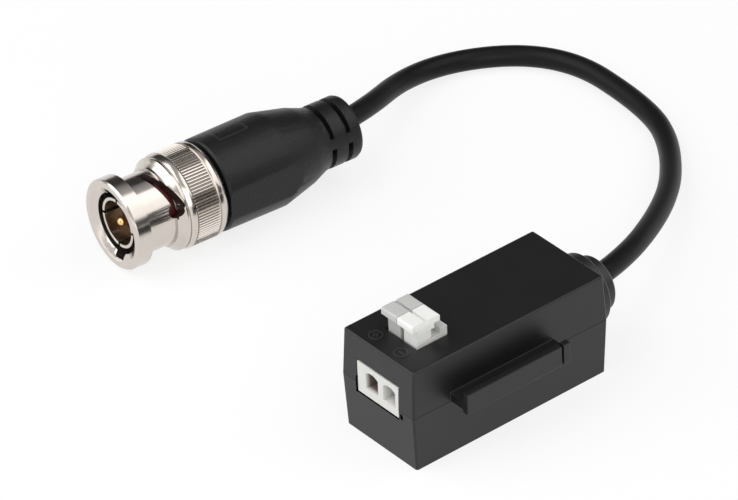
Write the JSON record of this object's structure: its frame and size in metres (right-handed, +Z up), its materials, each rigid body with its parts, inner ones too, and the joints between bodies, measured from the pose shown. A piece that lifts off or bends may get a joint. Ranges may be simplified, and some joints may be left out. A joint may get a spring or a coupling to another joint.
{
  "type": "passive video balun",
  "caption": "Small black two-part housing with a push-button wire terminal in front, a side rail, and a short lead to a bayonet coaxial plug.",
  "frame": {"origin": "on the floor, at the middle of the box round the housing with its side rail and its strain relief; the lead and plug are left out of that box", "axes": "+Z up; the wire entries face -Y, the lead leaves the housing towards +Y, the side rail is on +X"},
  "size_m": [0.0816, 0.0879, 0.0211],
  "materials": {
    "housing": "fine matt moulded, black",
    "terminal": "satin moulded, white",
    "button_grey": "satin moulded, light grey",
    "button_white": "satin moulded, white",
    "spring_steel": "bright rolled spring strip",
    "tinned_contact": "tin-plated",
    "board": "green lacquered laminate",
    "ferrite": "dull dark ferrite",
    "enamelled_wire": "enamelled copper",
    "arrester": "glazed body with plated caps",
    "chip_tan": "fired",
    "chip_black": "dull",
    "gland": "satin moulded, black",
    "lead_red": "insulated conductor",
    "lead_black": "insulated conductor",
    "jacket": "satin extruded jacket, black",
    "boot": "satin moulded, black",
    "nickel": "bright nickel plating",
    "gasket": "red rubber",
    "dielectric": "tan moulded insulator",
    "gold": "gold plated",
    "core_insulation": "milky insulation"
  },
  "bodies": {
    "balun": {"housing_base": "housing", "housing_cover": "housing", "terminal_body": "terminal", "clamp_spring_left": "spring_steel", "clamp_spring_right": "spring_steel", "contact_left": "tinned_contact", "contact_right": "tinned_contact", "circuit_board": "board", "ferrite_core": "ferrite", "winding_left": "enamelled_wire", "winding_right": "enamelled_wire", "surge_arrester": "arrester", "chip_capacitor": "chip_tan", "chip_resistor": "chip_black", "cable_gland": "gland", "signal_lead": "lead_red", "ground_lead": "lead_black", "cable": "jacket", "boot": "boot", "plug_body": "nickel", "contact_sleeve": "nickel", "retaining_ring": "spring_steel", "wave_washer": "spring_steel", "crimp_ferrule": "nickel", "plug_gasket": "gasket", "plug_dielectric": "dielectric", "centre_pin": "gold", "cable_core": "core_insulation"},
    "left_button": {"button_left": "button_grey"},
    "right_button": {"button_right": "button_white"},
    "nut_carrier": {"thrust_washer": "spring_steel"},
    "nut": {"coupling_nut": "nickel"}
  },
  "joints": [
    {"name": "left_button_press", "type": "slide", "parent": "balun", "child": "left_button", "axis": [0, 0, -1], "range_m": [0, 0.0014], "stiffness_N_per_m": 3000, "springref_m": -0.0008, "deforming": ["clamp_spring_left"]},
    {"name": "right_button_press", "type": "slide", "parent": "balun", "child": "right_button", "axis": [0, 0, -1], "range_m": [0, 0.0014], "stiffness_N_per_m": 3000, "springref_m": -0.0008, "deforming": ["clamp_spring_right"]},
    {"name": "nut_pull", "type": "slide", "parent": "balun", "child": "nut_carrier", "axis": [-0.0698, -0.9976, 0], "range_m": [0, 0.0008], "stiffness_N_per_m": 6000, "springref_m": -0.001},
    {"name": "nut_turn", "type": "hinge", "parent": "nut_carrier", "child": "nut", "pos_m": [-0.06236, -0.00963, 0.00765], "axis": [0.0698, 0.9976, 0], "continuous": true}
  ]
}
